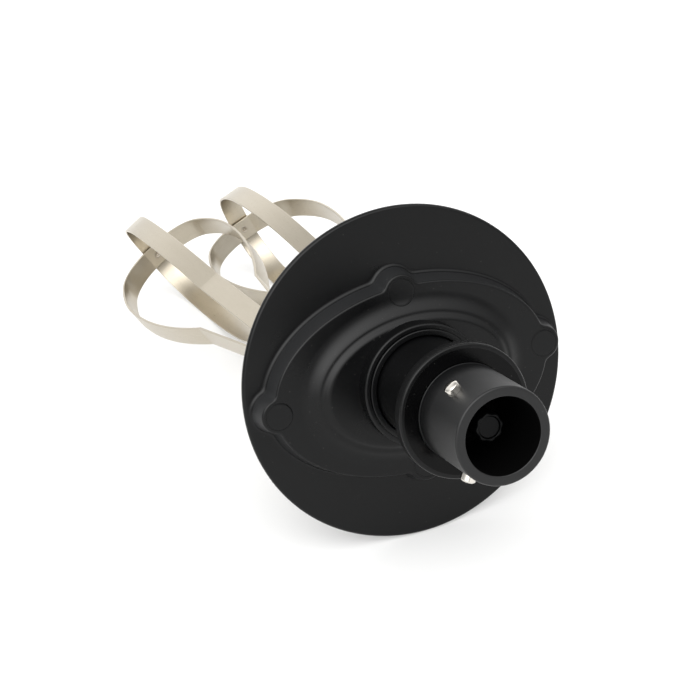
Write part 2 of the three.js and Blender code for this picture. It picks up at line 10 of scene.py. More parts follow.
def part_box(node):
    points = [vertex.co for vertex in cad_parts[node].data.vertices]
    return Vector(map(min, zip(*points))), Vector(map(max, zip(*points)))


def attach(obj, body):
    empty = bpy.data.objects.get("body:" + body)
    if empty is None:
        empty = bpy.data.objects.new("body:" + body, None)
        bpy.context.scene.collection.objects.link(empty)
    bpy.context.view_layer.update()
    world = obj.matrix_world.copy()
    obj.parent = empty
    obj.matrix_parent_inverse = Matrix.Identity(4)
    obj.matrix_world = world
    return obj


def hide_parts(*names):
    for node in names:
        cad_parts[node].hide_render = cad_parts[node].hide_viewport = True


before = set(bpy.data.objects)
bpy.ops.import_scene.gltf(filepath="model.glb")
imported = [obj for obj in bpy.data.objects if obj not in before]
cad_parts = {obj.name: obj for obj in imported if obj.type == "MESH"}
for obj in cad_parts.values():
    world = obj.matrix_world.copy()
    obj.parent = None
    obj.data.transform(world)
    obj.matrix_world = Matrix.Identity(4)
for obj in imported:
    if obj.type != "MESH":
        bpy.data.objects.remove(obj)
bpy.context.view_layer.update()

MM = 0.001
TAU = 2 * math.pi


# ---------------------------------------------------------------- sizes, from the frame where it has them

def span(node):
    """Lowest and highest corner of a CAD node, in millimetres."""
    low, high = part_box(node)
    return np.array(low) / MM, np.array(high) / MM


def heights(node):
    """Lowest and highest z of a CAD node."""
    low, high = span(node)
    return low[2], high[2]


def radius_of(node):
    low, high = span(node)
    return max(high[0] - low[0], high[1] - low[1]) / 2


GAP = 0.3  # the clearance that the frame leaves between pieces that meet
COVER_TURN = math.radians(-2)  # the cover's oval against the line of the two spindles

TUBE_BOTTOM, TUBE_TOP = heights("coupling_tube")
TUBE_RADIUS = 16.6
TUBE_BORE = 13.1
TUBE_FOOT = 16.75
TUBE_FOOT_BOTTOM, TUBE_FOOT_TOP = 0.2, 0.7  # the low step at the tube's foot, above the flange's face
PINS = [f"bayonet_pin_{i + 1}" for i in range(3)]
PIN_RADIUS = 2.55
PIN_SOCKET = 2.62
PIN_DEPTH, PIN_REACH = 2.2, 3.1  # how far a pin goes into the tube's side and stands out of it
FLANGE_RADIUS = radius_of("flange_collar")
FLANGE_BACK = heights("flange_collar")[0]
FLANGE_EDGE = 1.6  # width of the rounded edge round the flat face
NECK_BOTTOM, NECK_TOP = heights("neck_sleeve")
NECK_RADIUS = 17.6
NECK_FOOT = radius_of("neck_sleeve")
NECK_FOOT_TOP = -41.4
NECK_BORES = ((12.2, -8.5), (9.8, -15.1), (7.5, -18.1))  # radius and floor: recess, bearing seat, shaft hole
NECK_SKIRT = 15.4  # inside radius below the shaft hole
BORE_SHADE_STEP = 1.0  # how far inside the neck's outer radius the painted shade on its inner faces begins
DOG_OUTER, DOG_ROOT, DOG_BORE = 4.95, 4.5, 3.82
DOG_LOBES = 8
DOG_FILLET = 0.6
SHAFT_RADIUS, SHAFT_END, SHAFT_COLLAR = 3.7, 3.2, 5.2
SHAFT_END_TOP = -59.9
SHAFT_COLLAR_BOTTOM, SHAFT_COLLAR_TOP = -52.7, -51.0

DISC_RADIUS = radius_of("splash_cover")
DISC_BOTTOM, COLLAR_TOP = heights("splash_cover")
DISC_THICKNESS = 2.4
DISC_TOP = DISC_BOTTOM + DISC_THICKNESS
PLATEAU = heights("screw_plug_left")[1]
PLATEAU_A, PLATEAU_B = 51.2, 33.6
WALL_DRAFT = 1.6
EAR_RADIUS = 5.9
EAR_BLEND = 1.6
EAR_X = 50.2
EAR_Y = 31.8
PLUG_SIDES = ("left", "right", "front", "back")
PLUG_RADIUS = radius_of("screw_plug_left")
PLUG_EDGE = 0.14
WELL_RADIUS = PLUG_RADIUS + 0.06
WELL_FLOOR = PLATEAU - 2.1
TERRACE_A, TERRACE_B = 35.7, 24.0
COLLAR_RADIUS = 21.9
COLLAR_SHOULDER = -33.3
COLLAR_BEAD = 20.0
COLLAR_GROOVE = COLLAR_SHOULDER - 0.5
COVER_WALL = 2.4

BOSS_BOTTOM, HOUSING_TOP = heights("gear_housing")
HOUSING_BOTTOM = -79.0
HOUSING_FLOOR = -76.0
HOUSING_RIM = (54.0, 35.0)
HOUSING_RIM_BOTTOM = -60.0
HOUSING_UPPER = (50.0, 32.5)
HOUSING_LOWER = (48.5, 31.5)
HOUSING_WALL = 2.6
HOUSING_LEDGE = HOUSING_TOP - 5.1  # carries the bearing plate
POST_RADIUS = 4.3
POST_BOTTOM = -65.6
BOSS_RADIUS = 11.0
BOSS_BORE = 6.9

SIDES = ("left", "right")
SPINDLE_X = {side: sum(span(f"{side}_spindle"))[0] / 2 for side in SIDES}
SPINDLE_RADIUS, SPINDLE_END, SPINDLE_COLLAR = 3.7, 3.0, 5.3
FERRULE_BORE, FERRULE_RADIUS = 8.4, 9.5
PHASE = {"left": math.radians(28.7), "right": math.radians(19.5)}  # of each inner loop, from the X axis
STRIP_WIDTH = 9.1
STRIP_THICKNESS = 1.0
TIP_Z = heights("left_outer_loop")[0] + STRIP_THICKNESS / 2  # middle of the outer loops' tips
BLOCK_BOTTOM, BLOCK_TOP = heights("left_beater_block")
ARM_SEAT = 6.3  # from the beater's axis to the middle of an arm where it lies on the block


# ---------------------------------------------------------------- mesh helpers

def mesh_object(name, vertices, faces):
    """A plain object from points in millimetres."""
    mesh = bpy.data.meshes.new(name)
    mesh.from_pydata((np.asarray(vertices, float) * MM).tolist(), [], faces)
    mesh.validate()
    obj = bpy.data.objects.new(name, mesh)
    bpy.context.collection.objects.link(obj)
    return obj


def finish_piece(obj, material, body, replaces, smooth_angle=35):
    """Shades an object smoothly up to an angle, and has it ride on a body in place of a CAD node."""
    mesh = obj.data
    mesh.materials.clear()
    mesh.materials.append(material)
    mesh.polygons.foreach_set("use_smooth", [True] * len(mesh.polygons))
    mesh.set_sharp_from_angle(angle=math.radians(smooth_angle))
    mesh.update()
    modifier = obj.modifiers.new("even shading", "WEIGHTED_NORMAL")
    modifier.keep_sharp = True
    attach(obj, body)
    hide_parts(*replaces)


def piece(name, vertices, faces, material, body, replaces):
    obj = mesh_object(name, vertices, faces)
    finish_piece(obj, material, body, replaces)
    return obj


def rounded(corners):
    """A profile through (radius, z) or (radius, z, fillet) corners, with each fillet drawn as an arc."""
    points = []
    count = len(corners)
    for i, corner in enumerate(corners):
        here = np.array(corner[:2], float)
        fillet = corner[2] if len(corner) > 2 else 0
        if not fillet or i in (0, count - 1):
            points.append(tuple(here))
            continue
        before = np.array(corners[i - 1][:2], float) - here
        after = np.array(corners[i + 1][:2], float) - here
        length_before, length_after = np.linalg.norm(before), np.linalg.norm(after)
        before, after = before / length_before, after / length_after
        half = math.acos(np.clip(before @ after, -1, 1)) / 2
        reach = min(fillet / math.tan(half), length_before * 0.49, length_after * 0.49)
        radius = reach * math.tan(half)
        centre = here + (before + after) / np.linalg.norm(before + after) * radius / math.sin(half)
        start, end = here + before * reach, here + after * reach
        from_angle = math.atan2(*(start - centre)[::-1])
        sweep = math.atan2(*(end - centre)[::-1]) - from_angle
        sweep = (sweep + math.pi) % TAU - math.pi
        steps = max(2, math.ceil(abs(sweep) / math.radians(15)))
        for k in range(steps + 1):
            angle = from_angle + sweep * k / steps
            points.append((centre[0] + radius * math.cos(angle), centre[1] + radius * math.sin(angle)))
    return points


def ring_mesh(rings):
    """Vertices and faces of a solid through rings of equal length. A ring of one point closes an end on the
    axis. Where the first ring isn't one, the last ring joins back to it."""
    starts, vertices = [], []
    for ring in rings:
        starts.append(len(vertices))
        vertices.extend(ring)
    faces = []
    pairs = list(zip(range(len(rings) - 1), range(1, len(rings))))
    if len(rings[0]) > 1:
        pairs.append((len(rings) - 1, 0))
    for low, high in pairs:
        a, b = starts[low], starts[high]
        count = max(len(rings[low]), len(rings[high]))
        for i in range(count):
            j = (i + 1) % count
            if len(rings[low]) == 1:
                faces.append((a, b + j, b + i))
            elif len(rings[high]) == 1:
                faces.append((a + i, a + j, b))
            else:
                faces.append((a + i, a + j, b + j, b + i))
    return vertices, faces


def turned_rings(profile, segments):
    """Rings of a profile turned about Z: from the axis to the axis, or a closed loop of points."""
    angles = np.arange(segments) * TAU / segments
    rings = []
    for radius, z in profile:
        if radius < 1e-6:
            rings.append([(0, 0, z)])
        else:
            rings.append([(radius * math.cos(a), radius * math.sin(a), z) for a in angles])
    return rings


def turned_mesh(profile, segments, place):
    """Vertices and faces of a turned solid, carried from the Z axis to its place by a matrix."""
    vertices, faces = ring_mesh(turned_rings(profile, segments))
    return [tuple(place @ Vector(v)) for v in vertices], faces


def lathe(name, profile, material, body, replaces, segments=96, place=Matrix.Identity(4)):
    vertices, faces = turned_mesh(profile, segments, place)
    return piece(name, vertices, faces, material, body, replaces)


def rod(radius, bottom, top):
    """The profile of a plain rod, for drilling a hole."""
    return [(0, bottom), (radius, bottom), (radius, top), (0, top)]


def boolean(obj, operation, profile, segments, places):
    """Cuts or joins obj with a turned tool at each place, and applies the result."""
    for index, place in enumerate(places):
        tool = mesh_object(f"tool_{index}", *turned_mesh(profile, segments, place))
        modifier = obj.modifiers.new("boolean", "BOOLEAN")
        modifier.operation = operation
        modifier.solver = "EXACT"
        modifier.object = tool
        depsgraph = bpy.context.evaluated_depsgraph_get()
        result = bpy.data.meshes.new_from_object(obj.evaluated_get(depsgraph))
        obj.modifiers.clear()
        obj.data = result
        bpy.data.objects.remove(tool)


# ---------------------------------------------------------------- materials

class Nodes:
    """A new material's node tree, with short calls to add and link nodes."""

    def __init__(self, name):
        self.material = bpy.data.materials.new(name)
        self.material.use_nodes = True
        self.tree = self.material.node_tree
        self.shader = self.tree.nodes["Principled BSDF"]

    def add(self, kind, **settings):
        node = self.tree.nodes.new(kind)
        for key, value in settings.items():
            if key in node.inputs:
                node.inputs[key].default_value = value
            else:
                setattr(node, key, value)
        return node

    def link(self, source, target):
        self.tree.links.new(source, target)

    def noise(self, coordinates, scale, detail=2.0, roughness=0.5):
        node = self.add("ShaderNodeTexNoise", Scale=scale, Detail=detail, Roughness=roughness)
        self.link(coordinates, node.inputs["Vector"])
        return node.outputs["Fac"]

    def remap(self, value, low, high, to_low, to_high):
        node = self.add("ShaderNodeMapRange")
        self.link(value, node.inputs["Value"])
        for name, number in zip(("From Min", "From Max", "To Min", "To Max"), (low, high, to_low, to_high)):
            node.inputs[name].default_value = number
        return node.outputs["Result"]

    def blend(self, factor, first, second):
        """A mix of two colours. Each is three numbers or another node's colour."""
        node = self.add("ShaderNodeMix", data_type="RGBA")
        self.link(factor, node.inputs["Factor"])
        sockets = [socket for socket in node.inputs if socket.type == "RGBA"]
        for socket, colour in zip(sockets, (first, second)):
            if isinstance(colour, tuple):
                socket.default_value = (*colour, 1)
            else:
                self.link(colour, socket)
        return next(socket for socket in node.outputs if socket.type == "RGBA")

    def gloss(self, noise, roughness, spread):
        """Roughness that wanders with a noise, whose values lie mostly between 0.3 and 0.7."""
        uneven = self.remap(noise, 0.3, 0.7, roughness - spread, roughness + spread)
        self.link(uneven, self.shader.inputs["Roughness"])

    def bump(self, height, strength, distance):
        node = self.add("ShaderNodeBump", Strength=strength, Distance=distance)
        self.link(height, node.inputs["Height"])
        self.link(node.outputs["Normal"], self.shader.inputs["Normal"])


DUST = (0.35, 0.34, 0.32)


def plastic(name, dark, light, roughness, grain, specular, speck=0.06):
    """Moulded black plastic: fine spark-eroded grain, faint uneven gloss and a few pale specks of dust."""
    n = Nodes(name)
    where = n.add("ShaderNodeTexCoord").outputs["Object"]
    cloudy = n.noise(where, 60, 3)
    fine = n.noise(where, grain, 2, 0.6)
    dust = n.remap(n.noise(where, 900, 1), 0.74, 0.8, 0, speck)
    n.link(n.blend(dust, n.blend(cloudy, dark, light), DUST), n.shader.inputs["Base Color"])
    n.gloss(cloudy, roughness, 0.04)
    n.shader.inputs["Specular IOR Level"].default_value = specular
    n.bump(fine, 0.35, 0.00003)
    return n.material


def metal(name, colour, roughness, scratch_scale=1400, spread=0.05, strength=0.06):
    """Bare metal with a fine ground finish."""
    n = Nodes(name)
    where = n.add("ShaderNodeTexCoord").outputs["Object"]
    fine = n.noise(where, scratch_scale, 3, 0.6)
    cloudy = n.noise(where, 120, 2)
    n.shader.inputs["Base Color"].default_value = (*colour, 1)
    n.shader.inputs["Metallic"].default_value = 1
    n.gloss(cloudy, roughness, spread)
    n.bump(fine, strength, 0.00002)
    return n.material


def strip_steel():
    """Rolled stainless strip, brushed along its length. Its UV map is in metres, across and along it."""
    n = Nodes("brushed strip steel")
    across_and_along = n.add("ShaderNodeTexCoord").outputs["UV"]

    def drawn_out(lengthwise):
        stretch = n.add("ShaderNodeMapping")
        stretch.inputs["Scale"].default_value = (1, lengthwise, 1)
        n.link(across_and_along, stretch.inputs["Vector"])
        return stretch.outputs["Vector"]

    brushed = n.noise(drawn_out(0.02), 9000, 2, 0.55)
    bands = n.noise(drawn_out(0.15), 420, 2)
    tone = n.blend(bands, (0.46, 0.415, 0.335), (0.495, 0.45, 0.37))
    n.link(tone, n.shader.inputs["Base Color"])
    n.shader.inputs["Metallic"].default_value = 1
    n.gloss(brushed, 0.3, 0.03)
    n.bump(brushed, 0.02, 0.00001)
    return n.material


def soft_surface(name, dark, light, roughness, scale, strength, specular=0.5):
    """Rubber, nylon and the like: two close tones, even gloss and a fine grain."""
    n = Nodes(name)
    where = n.add("ShaderNodeTexCoord").outputs["Object"]
    cloudy = n.noise(where, 90, 3)
    n.link(n.blend(cloudy, dark, light), n.shader.inputs["Base Color"])
    n.gloss(cloudy, roughness, 0.05)
    n.shader.inputs["Specular IOR Level"].default_value = specular
    n.bump(n.noise(where, scale, 2), strength, 0.00003)
    return n.material


BLACK = plastic("moulded black plastic", (0.0010, 0.0011, 0.0012), (0.0016, 0.0017, 0.0019),
                roughness=0.31, grain=3600, specular=0.22)
# a darker, less reflective black for the flange's flat face: painted shade where the tube shades the face
SHADED_FACE_BLACK = plastic("flange face darkened for painted shade", (0.0003, 0.0003, 0.0004), (0.0005, 0.0005, 0.0006),
                     roughness=0.2, grain=3600, specular=0.13)
# a lighter, rougher black for the cover's steep outer wall: its lighter colour is a painted sheen standing in
# for light on the wall
WALL_SHEEN_BLACK = plastic("black plastic with painted wall sheen", (0.012, 0.0124, 0.0130), (0.0150, 0.0154, 0.0160),
                       roughness=0.5, grain=2400, specular=0.25)
TUBE_BLACK = plastic("satin tube plastic", (0.0016, 0.0017, 0.0019), (0.0024, 0.0026, 0.0029),
                     roughness=0.4, grain=5200, specular=0.4, speck=0.03)
DOG_BLACK = plastic("drive dog plastic", (0.0012, 0.0013, 0.0014), (0.0018, 0.0019, 0.0021),
                    roughness=0.4, grain=5200, specular=0.12, speck=0)
# near-black matt for the tube's bore and the neck's inner faces: painted shade inside the hub, not a separate
# lining
BORE_SHADE_BLACK = plastic("bore painted shade", (0.0008, 0.0008, 0.0008), (0.0012, 0.0012, 0.0012),
                     roughness=0.8, grain=3600, specular=0.04, speck=0)
STRIP = strip_steel()
POLISHED = metal("polished steel", (0.66, 0.63, 0.58), 0.08, spread=0.02, strength=0.02)
RIVET_STEEL = metal("brushed rivet steel", (0.42, 0.38, 0.32), 0.3)
BEARING = metal("ground bearing steel", (0.5, 0.51, 0.52), 0.3)
ZINC = metal("zinc plate", (0.45, 0.46, 0.48), 0.38, 900)
BRONZE = metal("sintered bronze", (0.45, 0.29, 0.13), 0.45, 2400, spread=0.08, strength=0.3)
NYLON = soft_surface("gear nylon", (0.68, 0.63, 0.5), (0.76, 0.72, 0.6),
                     roughness=0.42, scale=1500, strength=0.1)
RUBBER = soft_surface("seal rubber", (0.0015, 0.0015, 0.0015), (0.003, 0.003, 0.003),
                      roughness=0.8, scale=2200, strength=0.25, specular=0.06)

# materials of the CAD nodes that stay, by a part of the name; the first match counts, and the rest is steel
CARRIED = {
    "cover_screw": ZINC, "bearing_plate": ZINC, "bearing": BEARING, "seal": RUBBER, "gasket": RUBBER,
    "bush": BRONZE, "drive_pinion": BEARING, "gear": NYLON,
}


def dress_cad_nodes():
    for name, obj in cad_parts.items():
        material = next((m for key, m in CARRIED.items() if key in name), BEARING)
        for index in range(max(1, len(obj.material_slots))):
            if not obj.material_slots:
                obj.data.materials.append(material)
            obj.material_slots[index].material = material


# ---------------------------------------------------------------- coupling end

def make_tube():
    profile = rounded([
        (TUBE_BORE, TUBE_BOTTOM), (TUBE_RADIUS, TUBE_BOTTOM), (TUBE_RADIUS, TUBE_FOOT_BOTTOM),
        (TUBE_FOOT, TUBE_FOOT_BOTTOM), (TUBE_FOOT, TUBE_FOOT_TOP - 0.2, 0.1), (TUBE_RADIUS, TUBE_FOOT_TOP),
        (TUBE_RADIUS, TUBE_TOP, 0.8), (TUBE_BORE, TUBE_TOP, 0.45), (TUBE_BORE, TUBE_BOTTOM),
    ])[:-1]
    vertices, faces = ring_mesh(turned_rings(profile, 192))
    obj = mesh_object("tube_shell", vertices, faces)
    socket = rod(PIN_SOCKET, TUBE_RADIUS - PIN_DEPTH - GAP, TUBE_RADIUS + 1)
    boolean(obj, "DIFFERENCE", socket, 48, [pin_place(name) for name in PINS])
    finish_piece(obj, TUBE_BLACK, "hub", ["coupling_tube"])
    # painted shade on the bore's faces
    shade_bore(obj, TUBE_BORE + 0.05)
    for name in PINS:
        make_pin(name)


def shade_bore(obj, radius):
    """Gives the faces nearer the hub's axis than a radius a near-black matt material: painted shade deep
    inside the bore.
    """
    obj.data.materials.append(BORE_SHADE_BLACK)
    for polygon in obj.data.polygons:
        inside = math.hypot(polygon.center.x, polygon.center.y) < radius * MM
        polygon.material_index = int(inside)


def pin_place(node):
    """Carries the Z axis to a bayonet pin's axis."""
    x, y, z = sum(span(node)) / 2
    turn = Matrix.Rotation(math.atan2(y, x), 4, "Z")
    return Matrix.Translation((0, 0, z)) @ turn @ Matrix.Rotation(math.pi / 2, 4, "Y")


def make_pin(node):
    """A bayonet pin with a low domed end."""
    inner, outer = TUBE_RADIUS - PIN_DEPTH, TUBE_RADIUS + PIN_REACH
    profile = rounded([
        (0, inner), (PIN_RADIUS, inner), (PIN_RADIUS, outer - 0.7, 0.35),
        (PIN_RADIUS * 0.75, outer - 0.25, 1.2), (PIN_RADIUS * 0.4, outer - 0.04, 2.0), (0, outer),
    ])
    lathe(f"{node}_turned", profile, POLISHED, "hub", [node], 64, pin_place(node))


def make_flange():
    """The flange, with its front on the frame's zero plane. Its flat face inside the rounded edge is darker
    and less reflective than the rest: painted shade from the tube.
    """
    hole, face = TUBE_RADIUS + GAP, FLANGE_RADIUS - FLANGE_EDGE
    profile = rounded([
        (hole, FLANGE_BACK), (FLANGE_RADIUS, FLANGE_BACK, 1.2), (FLANGE_RADIUS, 0, 0.9),
        (face, 0), (hole, -0.1),
    ])
    ring = lathe("flange_ring", profile, BLACK, "hub", ["flange_collar"], 192)
    # the flat face inside the rounded edge takes the darker black: painted shade from the tube
    ring.data.materials.append(SHADED_FACE_BLACK)
    for polygon in ring.data.polygons:
        from_axis = math.hypot(polygon.center.x, polygon.center.y) / MM
        faces_out = polygon.normal.z > 0.9
        polygon.material_index = int(faces_out and from_axis < face)


def make_neck():
    bore, level = [], NECK_TOP
    for radius, floor in NECK_BORES:
        bore += [(radius, level), (radius, floor)]
        level = floor
    profile = rounded([
        (NECK_SKIRT, NECK_BOTTOM), (NECK_FOOT, NECK_BOTTOM), (NECK_FOOT, NECK_FOOT_TOP, 0.5),
        (NECK_RADIUS, NECK_FOOT_TOP, 0.8), (NECK_RADIUS, NECK_TOP), *bore, (NECK_SKIRT, level),
    ])
    neck = lathe("neck_shell", profile, BLACK, "hub", ["neck_sleeve"], 128)
    # painted shade on the neck's inner faces
    shade_bore(neck, NECK_RADIUS - BORE_SHADE_STEP)


def make_dog():
    """The lobed drive dog with the shaft's end inside it."""
    bottom, top = heights("drive_dog")
    chamfer = 0.12
    count = DOG_LOBES * 24
    angles = np.arange(count) * TAU / count
    lobed = (DOG_OUTER + DOG_ROOT) / 2 + (DOG_OUTER - DOG_ROOT) / 2 * np.cos(DOG_LOBES * angles)

    def ring(radii, z):
        radii = np.broadcast_to(radii, count)
        return [(r * math.cos(a), r * math.sin(a), z) for r, a in zip(radii, angles)]

    rings = [ring(DOG_BORE, bottom), ring(lobed, bottom)]
    for angle in np.radians(range(0, 91, 15)):
        inset, drop = DOG_FILLET * (1 - math.cos(angle)), DOG_FILLET * (1 - math.sin(angle))
        rings.append(ring(lobed - inset, top - drop))
    rings += [ring(DOG_BORE + chamfer, top), ring(DOG_BORE, top - chamfer)]
    vertices, faces = ring_mesh(rings)
    piece("drive_dog_lobes", vertices, faces, DOG_BLACK, "drive", ["drive_dog"])
    bottom, top = heights("drive_shaft")
    profile = rounded([
        (0, bottom), (SHAFT_END, bottom, 0.3), (SHAFT_END, SHAFT_END_TOP), (SHAFT_RADIUS, SHAFT_END_TOP),
        (SHAFT_RADIUS, SHAFT_COLLAR_BOTTOM), (SHAFT_COLLAR, SHAFT_COLLAR_BOTTOM, 0.2),
        (SHAFT_COLLAR, SHAFT_COLLAR_TOP, 0.2), (SHAFT_RADIUS, SHAFT_COLLAR_TOP), (SHAFT_RADIUS, top, 0.35),
        (0, top),
    ])
    lathe("drive_shaft_turned", profile, DOG_BLACK, "drive", ["drive_shaft"], 64)


# ---------------------------------------------------------------- splash cover

OUTLINE_POINTS = 720
OUTLINE_RANGE = (4.0, 75.0)


def ellipse_distance(x, y, a, b):
    """About how far a point lies outside an ellipse with half axes a and b; negative inside."""
    scaled = np.hypot(x / a, y / b)
    slope = np.hypot(x / a**2, y / b**2)
    return scaled * (scaled - 1) / slope


def smooth_least(first, second, blend):
    """The smaller of two values, with the corner between them rounded over blend."""
    overlap = np.maximum(blend - np.abs(first - second), 0) / blend
    return np.minimum(first, second) - overlap**2 * blend / 4


def eared_distance(x, y, a, b, ear_radius, blend):
    """Distance outside an oval with four round ears at the screws."""
    ears = np.minimum.reduce([
        np.hypot(x - EAR_X, y), np.hypot(x + EAR_X, y), np.hypot(x, y - EAR_Y), np.hypot(x, y + EAR_Y),
    ]) - ear_radius
    return smooth_least(ellipse_distance(x, y, a, b), ears, blend)


def outline(distance, offset):
    """The radius at each angle where a distance function reaches an offset, found by halving."""
    angles = np.arange(OUTLINE_POINTS) * TAU / OUTLINE_POINTS
    low, high = np.full(OUTLINE_POINTS, OUTLINE_RANGE[0]), np.full(OUTLINE_POINTS, OUTLINE_RANGE[1])
    for _ in range(40):
        middle = (low + high) / 2
        outside = distance(middle * np.cos(angles), middle * np.sin(angles)) > offset
        high = np.where(outside, middle, high)
        low = np.where(outside, low, middle)
    return (low + high) / 2


def ring_at(radii, z):
    """A ring of points at given radii, turned with the cover."""
    angles = np.arange(OUTLINE_POINTS) * TAU / OUTLINE_POINTS + COVER_TURN
    radii = np.broadcast_to(radii, OUTLINE_POINTS)
    return [(r * math.cos(a), r * math.sin(a), z) for r, a in zip(radii, angles)]


def cover_oval(x, y):
    return eared_distance(x, y, PLATEAU_A, PLATEAU_B, EAR_RADIUS, EAR_BLEND)


def terrace_oval(x, y):
    return ellipse_distance(x, y, TERRACE_A, TERRACE_B)


# how steeply the cover rises towards its middle, at distances outside the terrace's oval: a soft swell, a
# shallow crease on the oval itself, then the rounded edge of the terrace
RISE = (
    (6.8, 0.0), (5.0, 0.2), (3.4, 0.45), (1.8, 0.66), (0.8, 0.5), (0.0, 0.12), (-0.5, 0.4), (-1.3, 0.8),
    (-2.2, 0.45), (-3.0, 0.08), (-3.4, 0.0),
)
RISE_STEP = 0.2
RISE_OFFSETS = np.arange(RISE[0][0], RISE[-1][0] - RISE_STEP / 2, -RISE_STEP)
RISE_SLOPES = np.interp(-RISE_OFFSETS, [-offset for offset, _ in RISE], [slope for _, slope in RISE])
RISE_HEIGHTS = np.concatenate([[0], np.cumsum((RISE_SLOPES[1:] + RISE_SLOPES[:-1]) / 2 * RISE_STEP)])
TERRACE_TOP = PLATEAU + RISE_HEIGHTS[-1]


def make_cover():
    # underside, from the neck's hole to the rim
    ceiling = PLATEAU - COVER_WALL
    inner = outline(lambda x, y: ellipse_distance(x, y, PLATEAU_A, PLATEAU_B), -COVER_WALL)
    hole, recess = NECK_RADIUS + GAP, NECK_FOOT + GAP
    recess_top = NECK_FOOT_TOP + GAP
    rings = [ring_at(hole, recess_top), ring_at(recess, recess_top), ring_at(recess, ceiling),
             ring_at(inner, ceiling), ring_at(inner, DISC_BOTTOM)]
    # rim of the disc, a full round with a slightly flat edge
    inboard = DISC_RADIUS - 10
    rim = rounded([
        (inboard, DISC_BOTTOM), (DISC_RADIUS, DISC_BOTTOM, 1.0), (DISC_RADIUS, DISC_TOP, 1.1),
        (inboard, DISC_TOP),
    ])[1:-1]
    rings += [ring_at(r, z) for r, z in rim]
    # step up to the oval: fillet at the foot, drafted wall, rounded edge at the top
    step = rounded([
        (WALL_DRAFT + 3, DISC_TOP), (WALL_DRAFT, DISC_TOP, 1.5), (0.15, PLATEAU, 0.9), (-4, PLATEAU),
    ])[1:-1]
    rings += [ring_at(outline(cover_oval, offset), z) for offset, z in step]
    # soft swell, crease and terrace edge; on the narrow sides the collar's foot cuts the edge short
    foot = COLLAR_RADIUS + 0.06
    rings += [ring_at(np.maximum(outline(terrace_oval, offset), foot), PLATEAU + height)
              for offset, height in zip(RISE_OFFSETS, RISE_HEIGHTS)]
    # collar round the neck: a rounded shoulder, a fine groove and a bead at the hole
    collar = rounded([
        (foot, TERRACE_TOP), (COLLAR_RADIUS, COLLAR_SHOULDER, 1.7), (COLLAR_BEAD + 0.25, COLLAR_SHOULDER),
        (COLLAR_BEAD + 0.15, COLLAR_GROOVE), (COLLAR_BEAD, COLLAR_GROOVE),
        (COLLAR_BEAD - 0.05, COLLAR_TOP - 0.2, 0.15), (COLLAR_BEAD - 0.3, COLLAR_TOP, 0.2),
        (hole, COLLAR_TOP, 0.4), (hole, NECK_FOOT_TOP),
    ])[:-1]
    rings += [ring_at(r, z) for r, z in collar]
    vertices, faces = ring_mesh(rings)
    obj = mesh_object("cover_shell", vertices, faces)
    well = rod(WELL_RADIUS, WELL_FLOOR, PLATEAU + 3)
    boolean(obj, "DIFFERENCE", well, 96, [plug_place(side) for side in PLUG_SIDES])
    finish_piece(obj, BLACK, "hub", ["splash_cover"], 30)
    # the steep wall gets the lighter black: painted sheen
    paint_wall_sheen(obj)


def paint_wall_sheen(obj):
    """Gives the cover's steep outer wall a lighter, rougher black: a painted sheen where light catches the
    wall.
    """
    most_lean = 0.45  # of a wall face's normal, up or down
    obj.data.materials.append(WALL_SHEEN_BLACK)
    turned_back = Matrix.Rotation(-COVER_TURN, 3, "Z")
    for polygon in obj.data.polygons:
        centre = turned_back @ polygon.center / MM
        steep = abs(polygon.normal.z) < most_lean and DISC_TOP < centre.z < PLATEAU
        if steep and cover_oval(centre.x, centre.y) > 0:
            polygon.material_index = 1


def plug_place(side):
    x, y, _ = sum(span(f"screw_plug_{side}")) / 2
    return Matrix.Translation((x, y, 0))


def cover_height(x, y):
    """Height of the cover's plateau and swell at a point, in the cover's own turn."""
    return PLATEAU + float(np.interp(-terrace_oval(x, y), -RISE_OFFSETS, RISE_HEIGHTS))


def make_plugs():
    """The four plugs, whose tops follow the cover's swell, so that they lie flush with it."""
    segments = 96
    face, corner = PLUG_RADIUS - PLUG_EDGE, PLUG_RADIUS - 0.04
    drops = [(radius, 0) for radius in np.linspace(0, face, 9)] + [(corner, -0.04), (PLUG_RADIUS, -PLUG_EDGE)]
    turned_back = Matrix.Rotation(-COVER_TURN, 4, "Z")
    for side in PLUG_SIDES:
        node = f"screw_plug_{side}"
        bottom = heights(node)[0]
        place = plug_place(side)
        rings = []
        for radius, drop in drops:
            ring = []
            for angle in np.arange(segments if radius else 1) * TAU / segments:
                point = place @ Vector((radius * math.cos(angle), radius * math.sin(angle), 0))
                own = turned_back @ point
                ring.append((point.x, point.y, cover_height(own.x, own.y) + drop))
            rings.append(ring)
        rings.append([(x, y, bottom) for x, y, _ in rings[-1]])
        rings.append([tuple(place @ Vector((0, 0, bottom)))])
        vertices, faces = ring_mesh(rings[::-1])
        piece(f"{node}_disc", vertices, faces, BLACK, "hub", [node])


# ---------------------------------------------------------------- gear housing

